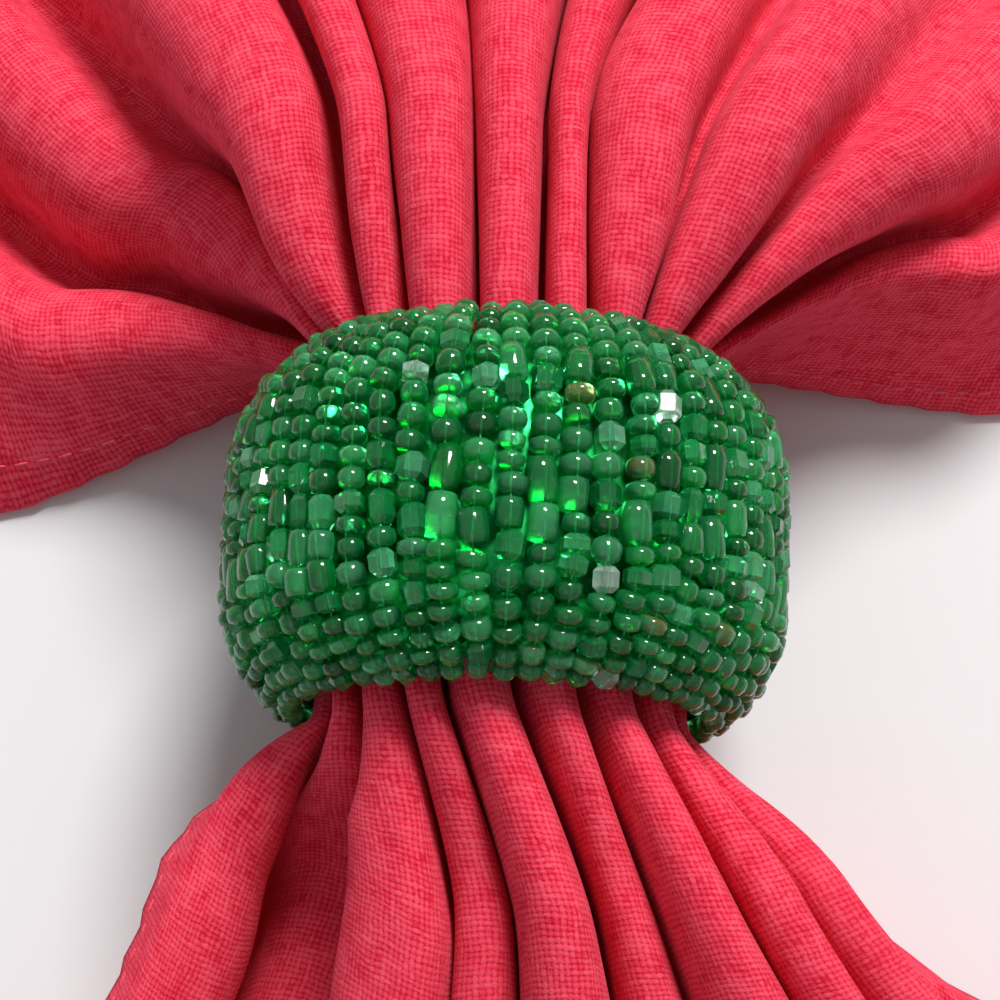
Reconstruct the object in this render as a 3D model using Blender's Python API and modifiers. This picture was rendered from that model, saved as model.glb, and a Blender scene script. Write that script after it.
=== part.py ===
"""Napkin in a beaded ring.

A 40 cm square napkin is gathered across its middle and drawn through a crowned ring.
It leaves the ring as a wide fan at the back (+Y) and a narrower one at the front (-Y).
The ring's axis lies along Y and the ring stands on the table. Sizes are in millimetres
up to the mesh, which is in metres.
"""
import math
from collections import namedtuple

import bmesh
import bpy
import numpy as np

MM = 0.001
COLLECTION = "napkin_in_ring"

# ---------------------------------------------------------------- ring sizes
RING_R = 27.5          # greatest radius, and the height of the axis above the table
RIM_R = 20.4           # radius at the two rims
RING_HALF = 17.78      # half the width, rim to rim
CROWN_POWER = 3.36     # how square-shouldered the crown is
BEAD_LAYER = 2.4       # thickness of the beads over the band
LIP_R = 18.5           # narrowest radius, where the strands turn over the rims
STRANDS = 56           # bead strands round the ring
GROOVE = 0.7           # depth between two strands
RIB_CONTACT = 0.8      # the lowest strand and its two grooves are this high at most, and lie on the table
BAND_GAP = 0.3         # beads to band
BAND_T = 0.8           # thickness of the metal band
BAND_SIDES = 48
BAND_STATIONS = (-17, -12, -5, 5, 12, 17)   # places along the axis where the band's profile is set
CROWN_STATIONS = (-16.6, -13, -8, -3.5, 3.5, 8, 13, 16.6)   # and the beads' outside

# ---------------------------------------------------------------- napkin sizes
NAPKIN = 400.0         # side of the square
HALF = NAPKIN/2
SHEET = 1.0            # thickness of the cloth solid
TIP_R = 17.4           # radius of the folds' crests inside the ring
SIDE_TUCK = 0.8        # the outermost crests lie this much further in
MOUTH = 18.0           # half length of the straight run through the ring
PLEAT_RISE = 0.76      # height of a rounded pleat by that of a sharp one of the same cloth
PRESS = 0.8            # depth of the valleys' rounding that the table presses flat
CONTACT = 0.3          # cloth this close to the table lies on it
HEM_SLACK = {(1, 0): 18.0, (1, 12): 16.0, (-1, 12): 12.0}   # extra run of an edge that lies round the ring
FAN = {1: 0.86, -1: 0.76}         # share of the cloth's width that the fan's arc takes
FAN_TURN = {1: 0.0, -1: 17.0}     # degrees that the fan is swung to the right
FAN_R = 190.0          # radius of the fan's outer edge

# Lines that run the length of the cloth, left to right: an edge, eleven crests, an edge.
# angle: where the line lies on the bore, degrees from the top, + to the right
# lean:  direction of the pleat to its right, degrees from straight down, + to the right
# cloth: width of cloth to the next line
# lobe:  relative roundness of the crest
Bore = namedtuple("Bore", "name angle lean cloth lobe")
BORE = [Bore(*row) for row in (
    ("left edge", -139,   0, 13, 0.0),
    ("L",          -96,  33, 36, 2.6),
    ("K",          -75,  32, 36, 2.8),
    ("A",          -55,  21, 28, 3.0),
    ("B",          -36,  11, 39, 2.4),
    ("C",          -16,   1, 52, 3.3),
    ("D",            6,  -8, 52, 3.0),
    ("E",           26, -15, 40, 2.5),
    ("F",           46, -24, 24, 2.4),
    ("G",           65, -37, 22, 2.2),
    ("H",           87, -46, 34, 2.6),
    ("R",          112,   0, 24, 2.2),
    ("right edge", 180,   0,  0, 0.0),
)]

# Where each line passes outside the ring.
# rim, leave:  its angle at the rim, and its heading there
# x, out, z:   a point on it, out being the distance from the ring's middle
# heading:     its heading at that point; headings are degrees from straight out, + to the right
# lean, lobe:  as above, at that point
Way = namedtuple("Way", "name rim leave x out z heading lean lobe")
BACK = [Way(*row) for row in (
    ("left edge", -152, -26, -54.0,  9.2,  0.5, -108,   0, 0.0),
    ("L",         -107, -66, -48.0, 24.2, 15.5,  -97,   0, 6.0),
    ("K",          -86, -52, -37.5, 40.0, 20.0,  -92,  10, 4.2),
    ("A",          -68, -58, -25.2, 39.0, 40.0,   -8,   4, 6.6),
    ("B",          -48,  -8, -15.2, 38.9, 42.0,   -7,   0, 2.1),
    ("C",          -26,  -4,  -8.5, 38.2, 44.0,   -3,   0, 3.7),
    ("D",           -3,  -2,  -1.1, 38.5, 44.0,   -2,   0, 3.1),
    ("E",           17,  -2,   4.7, 39.7, 42.0,   -1,   0, 2.1),
    ("F",           35,   6,  12.0, 39.6, 43.0,    7,   0, 5.4),
    ("G",           54,  25,  23.5, 40.5, 42.0,   24,   0, 5.6),
    ("H",           78,  46,  38.0, 40.5, 33.0,   62, -16, 4.6),
    ("R",          101,  52,  47.0, 33.3, 20.5,   98,   0, 2.4),
    ("right edge", 176,  36,  53.7, 24.6,  0.5,   90,   0, 0.0),
)]
FRONT = [Way(*row) for row in (
    ("left edge", -122, -74, -31.6, 33.2, 22.0,  -10,   0, 0.0),
    ("L",          -78, -56, -25.6, 33.0, 27.0,  -12, -14, 3.0),
    ("K",          -57,  -8, -15.0, 33.0, 17.0,  -14,  20, 2.4),
    ("A",          -41,  12,  -8.2, 34.9, 38.5,    7,   8, 5.2),
    ("B",          -24,  18,  -1.3, 34.5, 37.5,   15,   0, 3.8),
    ("C",           -5,  21,   4.9, 34.7, 43.0,   18,   0, 4.6),
    ("D",           17,  20,  11.2, 34.3, 39.0,   20,   0, 3.2),
    ("E",           38,  26,  17.9, 34.1, 42.0,   24,   0, 4.2),
    ("F",           59,  27,  24.0, 33.7, 39.0,   27, -14, 3.4),
    ("G",           79,  38,  30.4, 33.0, 36.0,   33, -24, 2.4),
    ("H",           98,  42,  31.6, 31.6, 26.0,   35, -40, 2.4),
    ("R",          122,  48,  32.2, 30.4, 16.0,   37,   0, 1.8),
    ("right edge", 200,  50,  33.0, 28.6,  0.5,   39,   0, 0.0),
)]
WAYS = {1: BACK, -1: FRONT}
CRESTS = range(1, len(BORE)-1)
LAST = len(BORE)-1

# Rows of the cloth's mesh by distance from the ring's middle, and columns of a half pleat as shares
# of its curve.
ROWS_FRONT = (200, 180, 150, 120, 95, 75, 60, 48, 38, 30, 24, 18, 9)
ROWS_BACK = (0, 9, 18, 23, 28, 34, 42, 52, 64, 80, 100, 125, 155, 180, 200)
PLEAT_STEPS = (0, 0.12, 0.32, 0.66, 1)      # in the ring
FAN_STEPS = (0, 0.16, 0.45, 0.82, 1)        # far out in the fan
EDGE_STEPS = (0, 0.25, 0.5, 0.75, 1)


# ---------------------------------------------------------------- curves
def mix(a, b, t):
    return a+(b-a)*t


def ease(start, end, x):
    """0 before start, 1 after end, smooth between."""
    t = min(1.0, max(0.0, (x-start)/(end-start)))
    return t*t*(3-2*t)


def unit(v):
    return v/max(1e-9, np.linalg.norm(v))


def hermite(p, leave, q, arrive, t):
    """Points at t on the cubic from p to q with the given end tangents."""
    t = np.asarray(t, float).reshape(-1, 1)
    return ((2*t**3-3*t**2+1)*p+(t**3-2*t**2+t)*leave
            + (3*t**2-2*t**3)*q+(t**3-t**2)*arrive)


def lengths(points):
    return np.linalg.norm(np.diff(points, axis=0), axis=1)


def heading_vector(degrees, side, z=0.0):
    a = math.radians(degrees)
    return np.array([math.sin(a), side*math.cos(a), z])


# ---------------------------------------------------------------- the lines along the cloth
ACROSS = np.cumsum([0]+[row.cloth for row in BORE[:-1]])   # each line's place across the flat cloth
MIDDLE = 6                                                 # line D, at the middle of the fans


def bore_point(line, angle, y):
    radius = TIP_R-(SIDE_TUCK if line in (CRESTS[0], CRESTS[-1]) else 0)
    a = math.radians(angle)
    return np.array([radius*math.sin(a), y, RING_R+radius*math.cos(a)])


def line_path(line, side):
    """A line from the ring's middle out to the hem, with the cloth's length at each point."""
    way = WAYS[side][line]
    straight = np.array([bore_point(line, mix(BORE[line].angle, way.rim, q), side*MOUTH*q)
                         for q in np.linspace(0, 1, 6)])
    rim = straight[-1]
    point = np.array([way.x, side*way.out, way.z])
    reach = 0.9*np.linalg.norm(point-rim)
    rise = 0.2 if way.z > rim[2] else 0.0
    fall = -0.10 if way.z > 25 else -0.02
    there = heading_vector(way.heading, side, fall)
    head = hermite(rim, unit(heading_vector(way.leave, side, rise))*reach,
                   point, there*reach, np.linspace(0, 1, 21))
    head = np.vstack([straight, head[1:]])
    angle = (ACROSS[line]-ACROSS[MIDDLE])*FAN[side]/FAN_R+math.radians(FAN_TURN[side])
    ray = np.array([math.sin(angle), side*math.cos(angle), 0.0])
    total = HALF+HEM_SLACK.get((side, line), 0.0)
    low, high = 60.0, 230.0
    for _ in range(30):
        end = ray*(low+high)/2+np.array([0, 0, 1.0])
        tail = hermite(point, there*45, end, ray*120, np.linspace(0, 1, 41))
        if lengths(head).sum()+lengths(tail).sum() > total:
            high = (low+high)/2
        else:
            low = (low+high)/2
    path = np.vstack([head, tail[1:]])
    run = np.concatenate([[0], np.cumsum(lengths(path))])
    return path, run*HALF/total


PATHS = {(side, line): line_path(line, side) for side in (1, -1) for line in range(len(BORE))}


def line_at(line, s):
    """The line's point s mm of cloth from the ring's middle, + towards the back."""
    path, run = PATHS[1 if s >= 0 else -1, line]
    return np.array([np.interp(abs(s), run, path[:, axis]) for axis in range(3)])


def side_of(s):
    return WAYS[1 if s >= 0 else -1]


def angle_at(line, s):
    return mix(BORE[line].angle, side_of(s)[line].rim, min(1, abs(s)/MOUTH))


def lobe_at(line, s):
    return mix(BORE[line].lobe, side_of(s)[line].lobe, ease(10, 40, abs(s)))


def lean_at(line, s):
    """The pleat turns with its two crests inside the ring, and its lean fades out in the fan."""
    turn = 0.5*(angle_at(line, s)-BORE[line].angle+angle_at(line+1, s)-BORE[line+1].angle)
    outside = side_of(s)[line].lean*(1-ease(60, 110, abs(s)))
    return mix(BORE[line].lean-turn, outside, ease(10, 40, abs(s)))


# ---------------------------------------------------------------- a section across the cloth
def half_pleat(crest, crest_way, valley, valley_way, width, steps):
    """Crest to valley. A deep narrow pleat bulges at both ends and is slim between."""
    depth = np.linalg.norm(valley-crest)
    slim = min(1.0, max(0.0, (depth/max(width, 0.3)-0.6)/2.6))
    leave = max(width*(1.3+3.7*slim), math.sqrt(6*depth*0.62))
    arrive = mix(1.3*width, math.sqrt(6*depth*0.66), slim)
    return hermite(crest, crest_way*leave, valley, valley_way*arrive, steps)


def fan_heights(lines, far):
    """Far from the ring, each crest is as high as the cloth between its neighbours makes it."""
    rise = []
    for k in CRESTS[:-1]:
        apart = np.linalg.norm(lines[k+1][:2]-lines[k][:2])
        rise.append(PLEAT_RISE*0.5*math.sqrt(max(9.0, BORE[k].cloth**2-apart**2)))
    for k in CRESTS:
        near = rise[max(0, k-2):k]
        lines[k][2] = mix(lines[k][2], SHEET/2+sum(near)/len(near), far)
    for k in (0, LAST):
        lines[k][2] = mix(lines[k][2], SHEET/2, far)


def pleat_frame(k, s, lines):
    """Share of the pleat on its left, its downward direction, and its width across that."""
    left, right = lobe_at(k, s), lobe_at(k+1, s)
    lean = math.radians(lean_at(k, s))
    ahead, behind = min(HALF, s+1), max(-HALF, s-1)
    run = line_at(k, ahead)-line_at(k, behind)+line_at(k+1, ahead)-line_at(k+1, behind)
    across = unit(np.array([run[1], -run[0], 0.0]))
    down = across*math.sin(lean)-np.array([0, 0, math.cos(lean)])
    chord = lines[k+1]-lines[k]
    flat = chord-down*np.dot(chord, down)
    return left/(left+right), down, unit(flat), np.linalg.norm(flat)


def crest_way(k, s, lines, left, right, inside):
    """Direction of the cloth over a crest: square to its two flanks, and along the bore inside the ring."""
    a = math.radians(angle_at(k, s))
    bore = np.array([math.cos(a), 0, -math.sin(a)])
    inward = unit(unit(left-lines[k])+unit(right-lines[k])+np.array([0, 0, -0.3*(1-inside)]))
    over = unit(right-left)
    if k in (CRESTS[0], CRESTS[-1]):
        over = mix(over, bore, inside)
    else:
        over = over+unit(lines[k+1]-lines[k-1])
    over = unit(over-inward*np.dot(over, inward))
    share = 0.75 if k in (CRESTS[0], CRESTS[-1]) else 1.0
    return unit(mix(over, bore, inside*share))


def edge_way(k, s, lines, bulge, inside):
    """Direction of a free edge's strip, away from the edge."""
    a = math.radians(angle_at(k, s))
    inner = 1 if k == 0 else LAST-1
    bore = np.array([math.cos(a), 0, -math.sin(a)])*(1 if k == 0 else -1)
    open_way = unit(unit(lines[inner]-lines[k])+np.array([0, 0, bulge]))
    return unit(mix(open_way, bore, inside))


def fanned(s):
    """0 near the ring, 1 far out in the fan."""
    return ease(55, 115, abs(s))


def section(s, steps):
    """The cloth from its left edge to its right one, at s mm from the ring's middle."""
    inside = 1-ease(14, 34, abs(s))
    far = fanned(s)
    floor = SHEET/2
    lines = [line_at(k, s) for k in range(len(BORE))]
    if far > 0:
        fan_heights(lines, far)
    for point in lines:
        point[2] = max(point[2], floor)
    pleats = {k: pleat_frame(k, s, lines) for k in CRESTS[:-1]}

    def valley(k, depth):
        share, down = pleats[k][:2]
        return mix(lines[k], lines[k+1], share)+down*depth

    ends = [lines[0]]
    for k in CRESTS[:-1]:
        apart = np.linalg.norm(lines[k+1]-lines[k])
        ends.append(valley(k, 0.5*math.sqrt(max(16.0, BORE[k].cloth**2-apart**2))))
    ends.append(lines[LAST])
    over = {k: crest_way(k, s, lines, ends[k-1], ends[k], inside) for k in CRESTS}

    def pleat(k, depth, at, floored=False):
        share, _, way, width = pleats[k]
        bottom = valley(k, depth)
        if floored:
            bottom[2] = max(bottom[2], floor-PRESS*far)
        left = half_pleat(lines[k], over[k], bottom, way, share*width, at)
        right = half_pleat(lines[k+1], -over[k+1], bottom, -way, (1-share)*width, at)
        return left, right

    points = []
    swell = 0.9*(1-inside)*(1-far)
    start = edge_way(0, s, lines, swell, inside)
    wide = BORE[0].cloth
    points += list(hermite(lines[0], start*wide, lines[1], over[1]*wide, EDGE_STEPS)[:-1])
    for k in CRESTS[:-1]:
        low, high = 0.3, 45.0
        for _ in range(22):      # the depth at which the pleat takes up its cloth
            left, right = pleat(k, (low+high)/2, np.linspace(0, 1, 15))
            if lengths(left).sum()+lengths(right).sum() < BORE[k].cloth:
                low = (low+high)/2
            else:
                high = (low+high)/2
        left, right = pleat(k, (low+high)/2, steps, floored=True)
        points += list(left[:-1])+list(right[::-1][:-1])
    k = CRESTS[-1]
    wide = BORE[k].cloth
    start = edge_way(LAST, s, lines, 0.1*(1-inside)*(1-far), inside)
    turn = 5.0 if abs(s) > 30 else mix(5.0, wide, inside)
    points += list(hermite(lines[LAST], start*wide, lines[k], -over[k]*turn, EDGE_STEPS)[::-1])
    points = np.array(points)
    points[:, 2] = np.maximum(points[:, 2], floor)
    return points


# ---------------------------------------------------------------- objects
def clear_scene():
    for ob in list(bpy.data.objects):
        bpy.data.objects.remove(ob, do_unlink=True)


def material(name, rgb, roughness, metallic=0.0, transmission=0.0):
    mat = bpy.data.materials.new(name)
    mat.use_nodes = True
    shader = mat.node_tree.nodes["Principled BSDF"]
    shader.inputs["Base Color"].default_value = (*rgb, 1)
    shader.inputs["Roughness"].default_value = roughness
    shader.inputs["Metallic"].default_value = metallic
    shader.inputs["Transmission Weight"].default_value = transmission
    return mat


def add_object(name, mesh, mat, collection):
    mesh.materials.append(mat)
    ob = bpy.data.objects.new(name, mesh)
    collection.objects.link(ob)
    return ob


def evaluated_mesh(ob):
    graph = bpy.context.evaluated_depsgraph_get()
    return bpy.data.meshes.new_from_object(ob.evaluated_get(graph))


def rest_on_table(mesh, within):
    """Lays what is this close to the table flat on it."""
    for vert in mesh.vertices:
        if vert.co.z < within*MM:
            vert.co.z = 0


def make_napkin(collection):
    """A grid whose rows are sections of the folded cloth, thickened, with its resting parts flat."""
    rows = [-s for s in ROWS_FRONT]+list(ROWS_BACK)
    near, out = np.array(PLEAT_STEPS), np.array(FAN_STEPS)
    points = [section(s, mix(near, out, fanned(s))) for s in rows]
    columns = len(points[0])
    bm = bmesh.new()
    bmesh.ops.create_grid(bm, x_segments=columns-1, y_segments=len(rows)-1, size=0.5)
    bm.verts.ensure_lookup_table()
    order = sorted(bm.verts, key=lambda v: (round(v.co.y, 5), round(v.co.x, 5)))
    for i, vert in enumerate(order):
        vert.co = points[i//columns][i % columns]*MM
    bmesh.ops.recalc_face_normals(bm, faces=bm.faces)
    mesh = bpy.data.meshes.new("napkin_sheet")
    bm.to_mesh(mesh)
    bm.free()
    cloth = material("red_plain_weave_cotton", (0.55, 0.012, 0.03), 0.85)
    sheet = add_object("napkin_sheet", mesh, cloth, collection)
    solid = sheet.modifiers.new("thickness", "SOLIDIFY")
    solid.thickness = SHEET*MM
    solid.offset = 0
    solid.use_even_offset = False
    thick = evaluated_mesh(sheet)
    bpy.data.objects.remove(sheet, do_unlink=True)
    rest_on_table(thick, CONTACT)
    thick.name = "napkin"
    ob = bpy.data.objects.new("napkin", thick)
    collection.objects.link(ob)
    return ob


def crown(y):
    """Radius of the ring's outside at y."""
    return RIM_R+(RING_R-RIM_R)*(1-abs(y/RING_HALF)**CROWN_POWER)


def crown_inset(y, depth):
    """(y, radius) at a depth under the crowned surface, square to it."""
    step = 0.01
    slope = (crown(y+step)-crown(y-step))/(2*step)
    norm = math.hypot(slope, 1)
    return y+slope*depth/norm, crown(y)-depth/norm


def turned(name, profile, sides, collection, mat, radius_of=None):
    """A closed profile of (y, radius) swept round the ring's axis."""
    bm = bmesh.new()
    count = len(profile)
    bmesh.ops.create_grid(bm, x_segments=count, y_segments=sides, size=0.5)
    bm.verts.ensure_lookup_table()
    order = sorted(bm.verts, key=lambda v: (round(v.co.y, 5), round(v.co.x, 5)))
    for i, vert in enumerate(order):
        turn, place = divmod(i, count+1)
        y, r = profile[place % count]
        a = 2*math.pi*turn/sides
        if radius_of:
            r = radius_of(place % count, turn, r)
        vert.co = np.array([r*math.sin(a), y, RING_R-r*math.cos(a)])*MM
    bmesh.ops.remove_doubles(bm, verts=bm.verts, dist=0.01*MM)
    bmesh.ops.recalc_face_normals(bm, faces=bm.faces)
    mesh = bpy.data.meshes.new(name)
    bm.to_mesh(mesh)
    bm.free()
    ob = add_object(name, mesh, mat, collection)
    ob.data.shade_smooth()
    return ob


def make_bead_wrap(collection):
    """The layer of beads: a crowned barrel with a rib for each strand, turned in over both rims."""
    outer = [(y, crown(y)) for y in CROWN_STATIONS]
    lip = [(17.6, 20.4), (17.5, 19.2), (16.7, LIP_R)]
    inner = [crown_inset(y, BEAD_LAYER) for y in reversed(BAND_STATIONS)]
    profile = outer+lip+inner+[(-y, r) for y, r in reversed(lip)]
    ribbed = len(outer)+2

    def rib(place, turn, radius):
        outside = place < ribbed or place == len(profile)-1
        return radius-GROOVE if outside and turn % 2 else radius

    glass = material("green_glass_beads", (0.01, 0.16, 0.05), 0.12, transmission=0.6)
    wrap = turned("bead_wrap", profile, 2*STRANDS, collection, glass, rib)
    rest_on_table(wrap.data, RIB_CONTACT)
    return wrap


def make_band(collection):
    """The hoop under the beads, crowned like them."""
    depth = BEAD_LAYER+BAND_GAP
    outer = [crown_inset(y, depth) for y in BAND_STATIONS]
    inner = [crown_inset(y, depth+BAND_T) for y in reversed(BAND_STATIONS)]
    lacquer = material("green_lacquered_brass", (0.02, 0.12, 0.05), 0.35, metallic=0.8)
    return turned("ring_band", outer+inner, BAND_SIDES, collection, lacquer)


def centre_on_table(objects):
    """Put the origin under the middle of the whole, on the table."""
    corners = np.array([v.co for ob in objects for v in ob.data.vertices])
    low, high = corners.min(axis=0), corners.max(axis=0)
    shift = -np.array([(low[0]+high[0])/2, (low[1]+high[1])/2, low[2]])
    for ob in objects:
        for vert in ob.data.vertices:
            vert.co += type(vert.co)(shift)


def main():
    clear_scene()
    collection = bpy.data.collections.new(COLLECTION)
    bpy.context.scene.collection.children.link(collection)
    centre_on_table([make_napkin(collection), make_bead_wrap(collection), make_band(collection)])


main()
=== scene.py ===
"""Finish for the napkin in a ring: woven cloth, hem stitches, strung glass beads and the band.

The red napkin is a 40 cm square of plain-weave cotton, gathered across its middle and drawn
through a crowned ring whose beads are strung rim to rim over a lacquered brass band.
Sizes are in millimetres, measured from the ring's middle on the table, up to each mesh.
"""
import math
import random
from collections import namedtuple

import bmesh
import bpy
import numpy as np
from mathutils import Matrix, Vector, noise


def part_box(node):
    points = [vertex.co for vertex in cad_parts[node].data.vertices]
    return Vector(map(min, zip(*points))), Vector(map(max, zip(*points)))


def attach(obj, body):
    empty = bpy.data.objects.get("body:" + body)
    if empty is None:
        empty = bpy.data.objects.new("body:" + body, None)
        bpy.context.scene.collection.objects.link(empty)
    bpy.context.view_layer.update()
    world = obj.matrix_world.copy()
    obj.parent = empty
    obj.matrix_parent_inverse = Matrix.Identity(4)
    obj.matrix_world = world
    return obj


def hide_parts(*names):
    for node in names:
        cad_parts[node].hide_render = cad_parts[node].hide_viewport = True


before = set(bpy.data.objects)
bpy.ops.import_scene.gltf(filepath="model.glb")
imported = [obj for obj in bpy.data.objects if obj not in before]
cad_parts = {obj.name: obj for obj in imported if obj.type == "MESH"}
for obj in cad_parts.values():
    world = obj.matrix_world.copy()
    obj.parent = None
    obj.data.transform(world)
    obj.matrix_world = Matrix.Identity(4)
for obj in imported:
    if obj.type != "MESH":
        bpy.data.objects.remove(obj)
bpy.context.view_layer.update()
BAND_LOW, BAND_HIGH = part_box("ring_band")
MM = 0.001
# The ring's middle, on the table.
ORIGIN = Vector(((BAND_LOW.x+BAND_HIGH.x)/2, (BAND_LOW.y+BAND_HIGH.y)/2, 0))

# ---------------- camera
CAMERA_AT = (-2.54, -63.76, 258.23)  # mm from the ring's middle on the table
CAMERA_AIM = (1.57, 73.48, 3.68)     # azimuth, downward tilt and roll, degrees
CAMERA_LENS = 89.81                  # mm
CAMERA_SENSOR = 36.0                 # mm
CAMERA_NEAR = 0.01                   # m, nearer than any part of the napkin


def show(name, data):
    """A new object in the scene, of this mesh, lamp or camera."""
    ob = bpy.data.objects.new(name, data)
    bpy.context.scene.collection.objects.link(ob)
    return ob


def make_camera():
    azimuth, tilt, roll = (math.radians(a) for a in CAMERA_AIM)
    ahead = Vector((math.sin(azimuth)*math.cos(tilt), math.cos(azimuth)*math.cos(tilt), -math.sin(tilt)))
    level = Vector((math.cos(azimuth), -math.sin(azimuth), 0))
    upright = level.cross(ahead)
    right = level*math.cos(roll)+upright*math.sin(roll)
    up = upright*math.cos(roll)-level*math.sin(roll)
    data = bpy.data.cameras.new("camera")
    data.lens = CAMERA_LENS
    data.sensor_width = CAMERA_SENSOR
    data.clip_start = CAMERA_NEAR
    camera = show("camera", data)
    camera.matrix_world = Matrix.Translation(ORIGIN+Vector(CAMERA_AT)*MM) @ Matrix(
        (right, up, -ahead)).transposed().to_4x4()
    bpy.context.scene.camera = camera


make_camera()

# ---------------- ring sizes
RING_R = 27.5       # greatest radius, and the height of the axis above the table
RIM_R = 20.4        # radius at the two rims
RING_HALF = 17.78   # half the width, rim to rim
CROWN_POWER = 3.36  # how square-shouldered the crown is
STRANDS = 56
BEAD_D = 2.9        # full width of a bead, of which each takes its own share
BEAD_SEAT = 1.12    # strands run this deep under the crown
# (out, radius) of a strand's end, turned in over the rim.
LIP = ((17.0, 20.2), (17.0, 19.7), (16.5, 19.4))
BAND_DEPTH = 2.7     # top of the band under the crown
BAND_T = 0.8
BAND_REACH = 17.0    # the band's profile runs to this place on the crown
BAND_STEPS = 19      # points across the band, and round it
BAND_SIDES = 96
BAND_SHARP = 40      # degrees; its rims stay crisp
THREAD_D = 0.2
THREAD_STEPS = 30    # points along a thread, which stops short of both ends of its strand
THREAD_SHORT = 0.4
STRAND_REACH = 17.2  # the strands follow the crown to this place, in so many steps
STRAND_STEPS = 69
BEAD_GAP = 0.03      # least gap between two beads of a strand
SHOULDER = 9.0       # this near a strand's end, a bead longer than the next value gives way to a seed bead
SHOULDER_LONG = 2.4
SEED = 11

# Unevenness of the stringing; the first three are shares of the pitch from strand to strand.
STRAY = 0.06         # a strand, and each bead on it, to either side
SWAY = 0.2           # greatest swing of a strand
ROOM = 1.12          # a bead's full width is at most this
SUNK = (-0.35, 0.1)  # how far a whole strand stands out
JUT = (-0.22, 0.18)  # and each bead on it
TILT = 0.14          # how far a bead's axis, 1 long, leans to any side
TILT_ROOM = 0.1      # height that the lowest beads keep clear of the table for that, by their length

# ---------------- napkin sizes
NAPKIN = 400.0             # side of the square
HALF = NAPKIN/2
SHEET = 1.0                # room that the folds leave for the cloth
MIDDLE = 6                 # line D, at the middle of the fans
CLOTH_T = 0.6              # thickness of the cloth
HEM_T = 1.2                # thickness of its folded hem
HEM = 5.0                  # width of the hem
STITCH_IN = 3.0            # hem stitches from the edge
STITCH_PITCH = 2.4
STITCH_LONG = 1.5
STITCH_D = 0.32
STITCH_FLAT = 0.8          # its height by its width
STITCH_SEAT = 0.02         # gap between a stitch's middle line and the cloth
STITCH_AHEAD = 0.6         # a stitch points at the hem line this far on
TABLE_GAP = 0.02           # the cloth and the beads stay this far above the table
THREAD_PITCH = 0.54        # weave, thread to thread
TIP_R = 17.4               # radius of the folds' crests inside the ring
SIDE_TUCK = 0.8            # the outermost crests lie this much further in
MOUTH = 18.0               # half length of the straight run through the ring
HEM_SLACK = {(1, 0): 18.0, (1, 12): 16.0, (-1, 12): 12.0}  # extra run of an edge that lies round the ring
FAN = {1: 0.86, -1: 0.76}  # share of the cloth's width that the fan's arc takes
FAN_TURN = {1: 0.0, -1: 17.0}  # degrees that the fan is swung to the right
FAN_R = 190.0              # radius of the fan's outer edge
PLEAT_RISE = 0.76          # height of a rounded pleat by that of a sharp one of the same cloth
PRESS = 0.8                # depth of the valleys' rounding that the table presses flat
SWELL_MOST = 4.1           # how far a deep pleat bulges near the ring, where its neighbours close the gap
SWELL_LEAST = 3.7          # and beyond, where more would push them right through each other
SWELL_FADE = (46, 62)      # mm along the cloth between the two
LOOSE_PLEAT = 1            # the pleat from L to K, which in front never bulges more than the least

# Lines that run the length of the cloth, left to right: an edge, eleven crests, an edge.
# angle: where the line lies on the bore, degrees from the top, + to the right
# lean:  direction of the pleat to its right, degrees from straight down, + to the right
# cloth: width of cloth to the next line
# lobe:  relative roundness of the crest
Bore = namedtuple("Bore", "name angle lean cloth lobe")
BORE = [Bore(*row) for row in (
    ("left edge", -139,   0, 13, 0.0),
    ("L",          -96,  33, 36, 2.6),
    ("K",          -75,  32, 36, 2.8),
    ("A",          -55,  21, 28, 3.0),
    ("B",          -36,  11, 39, 2.4),
    ("C",          -16,   1, 52, 3.3),
    ("D",            6,  -8, 52, 3.0),
    ("E",           26, -15, 40, 2.5),
    ("F",           46, -24, 24, 2.4),
    ("G",           65, -37, 22, 2.2),
    ("H",           87, -46, 34, 2.6),
    ("R",          112,   0, 24, 2.2),
    ("right edge", 180,   0,  0, 0.0),
)]

# Where each line passes outside the ring.
# rim, leave:  its angle at the rim, and its heading there
# x, out, z:   a point on it, out being the distance from the ring's middle
# heading:     its heading at that point; headings are degrees from straight out, + to the right
# lean, lobe:  as above, at that point
Way = namedtuple("Way", "name rim leave x out z heading lean lobe")
BACK = [Way(*row) for row in (
    ("left edge", -152, -26, -54.0,  9.2,  0.5, -108,   0, 0.0),
    ("L",         -107, -66, -48.0, 24.2, 15.5,  -97,   0, 6.0),
    ("K",          -86, -52, -37.5, 40.0, 20.0,  -92,  10, 4.2),
    ("A",          -68, -58, -25.2, 39.0, 40.0,   -8,   4, 6.6),
    ("B",          -48,  -8, -15.2, 38.9, 42.0,   -7,   0, 2.1),
    ("C",          -26,  -4,  -8.5, 38.2, 44.0,   -3,   0, 3.7),
    ("D",           -3,  -2,  -1.1, 38.5, 44.0,   -2,   0, 3.1),
    ("E",           17,  -2,   4.7, 39.7, 42.0,   -1,   0, 2.1),
    ("F",           35,   6,  12.0, 39.6, 43.0,    7,   0, 5.4),
    ("G",           54,  25,  23.5, 40.5, 42.0,   24,   0, 5.6),
    ("H",           78,  46,  38.0, 40.5, 33.0,   62, -16, 4.6),
    ("R",          101,  52,  47.0, 33.3, 20.5,   98,   0, 2.4),
    ("right edge", 176,  36,  53.7, 24.6,  0.5,   90,   0, 0.0),
)]
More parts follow.
